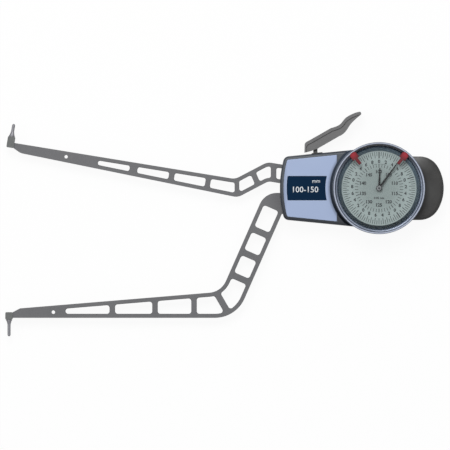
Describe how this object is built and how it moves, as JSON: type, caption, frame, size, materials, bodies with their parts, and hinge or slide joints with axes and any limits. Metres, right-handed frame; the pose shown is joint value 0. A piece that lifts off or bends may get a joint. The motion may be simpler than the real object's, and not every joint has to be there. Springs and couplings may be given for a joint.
{
  "type": "inside dial caliper",
  "caption": "Inside dial caliper: a cranked fixed arm and a swinging arm with ball contacts, a geared round dial with red tolerance markers, and a side finger lever.",
  "frame": {"origin": "on the back face, on the dial's axis", "axes": "+X from the dial to the rubber grip, away from the arms; +Y to the finger lever's side; +Z out of the dial"},
  "size_m": [0.3104, 0.159, 0.0264],
  "materials": {
    "case_slate": "satin slate blue lacquer on die-cast metal",
    "face_blue": "light blue satin anodised",
    "label_navy": "navy, smooth",
    "arm_grey": "grey anodised, fine grain",
    "head_grey": "matt hardened steel",
    "bright_steel": "polished hard metal",
    "steel": "bright turned steel",
    "brass": "fine brushed",
    "bronze": "sintered bronze",
    "bezel_blue": "light blue satin anodised, turned",
    "bezel_dark": "dark navy satin",
    "crystal_clear": "clear acrylic",
    "dial_green_grey": "matt grey-green print",
    "hand_black": "matt black",
    "marker_red": "deep red",
    "rubber_black": "moulded matt rubber",
    "lever_grey": "grey, fine textured",
    "shank_dark": "dark burnished"
  },
  "bodies": {
    "housing": {"rear_cover": "case_slate", "case_screws": "steel", "body_frame": "case_slate", "front_cover": "case_slate", "face_plate": "face_blue", "name_plate": "label_navy", "fixed_arm": "arm_grey", "fixed_arm_screws": "steel", "fixed_arm_dowels": "steel", "contact_head_lower": "head_grey", "head_rivet_lower": "steel", "contact_pin_lower": "bright_steel", "contact_ball_lower": "bright_steel", "arm_pivot_pin": "steel", "stop_pins": "steel", "movement_bridge": "brass", "bridge_pillars": "steel", "bridge_screws": "steel", "return_spring": "steel", "hairspring": "steel", "hairspring_stud": "steel", "lever_pin": "steel", "lever_boot": "rubber_black", "dial_case": "bezel_dark", "dial_case_screws": "steel", "bezel_retaining_ring": "steel", "grip_cap": "rubber_black", "grip_screws": "steel"},
    "moving_arm_group": {"moving_arm": "arm_grey", "arm_bush": "bronze", "sector_gear": "brass", "sector_rivets": "steel", "spring_pin": "steel", "contact_head_upper": "head_grey", "head_rivet_upper": "steel", "contact_pin_upper": "bright_steel", "contact_ball_upper": "bright_steel"},
    "lever_group": {"lever": "lever_grey", "lever_shank": "shank_dark", "shank_rivet": "steel", "lever_bush": "bronze"},
    "first_arbor_group": {"first_arbor": "steel", "first_wheel": "brass", "counter_gear": "brass"},
    "centre_arbor_group": {"centre_arbor": "steel", "long_hand": "hand_black", "hand_cap": "hand_black", "hairspring_collet": "brass"},
    "hour_wheel_group": {"hour_wheel": "brass", "small_hand": "hand_black"},
    "bezel": {"bezel_ring": "bezel_blue", "bezel_inner_ring": "bezel_dark", "crystal": "crystal_clear", "crystal_gasket": "rubber_black", "crystal_retainer": "bezel_blue", "dial_face": "dial_green_grey"},
    "marker_left": {"tolerance_marker_left": "marker_red"},
    "marker_right": {"tolerance_marker_right": "marker_red"}
  },
  "joints": [
    {"name": "arm_swing", "type": "hinge", "parent": "housing", "child": "moving_arm_group", "pos_m": [-0.0488, 0.0086, 0.0087], "axis": [0, 0, 1], "range_deg": [0, 13.8], "stiffness_Nm_per_rad": 0.5, "springref_deg": -34.38, "deforming": ["return_spring"]},
    {"name": "lever_press", "type": "hinge", "parent": "housing", "child": "lever_group", "pos_m": [-0.04491, 0.019, 0.0087], "axis": [0, 0, 1], "range_deg": [-21, 0]},
    {"name": "first_arbor_turn", "type": "hinge", "parent": "housing", "child": "first_arbor_group", "pos_m": [-0.00731, 0.00762, 0.006], "axis": [0, 0, 1], "range_deg": [-370, 0]},
    {"name": "long_hand_turn", "type": "hinge", "parent": "housing", "child": "centre_arbor_group", "pos_m": [0, 0, 0.0213], "axis": [0, 0, 1], "range_deg": [0, 3690], "deforming": ["hairspring"]},
    {"name": "small_hand_turn", "type": "hinge", "parent": "housing", "child": "hour_wheel_group", "pos_m": [0, 0, 0.02], "axis": [0, 0, 1], "range_deg": [0, 370]},
    {"name": "bezel_turn", "type": "hinge", "parent": "housing", "child": "bezel", "pos_m": [0, 0, 0.0173], "axis": [0, 0, 1], "continuous": true},
    {"name": "marker_left_slide", "type": "hinge", "parent": "bezel", "child": "marker_left", "pos_m": [0, 0, 0.0252], "axis": [0, 0, 1], "range_deg": [-30, 90]},
    {"name": "marker_right_slide", "type": "hinge", "parent": "bezel", "child": "marker_right", "pos_m": [0, 0, 0.0252], "axis": [0, 0, 1], "range_deg": [-90, 30]}
  ],
  "couplings": [
    {"joint": "lever_press", "follows": "arm_swing", "ratio": -1.5},
    {"joint": "first_arbor_turn", "follows": "arm_swing", "ratio": -26.668},
    {"joint": "long_hand_turn", "follows": "arm_swing", "ratio": 266.68},
    {"joint": "small_hand_turn", "follows": "arm_swing", "ratio": 26.668}
  ]
}
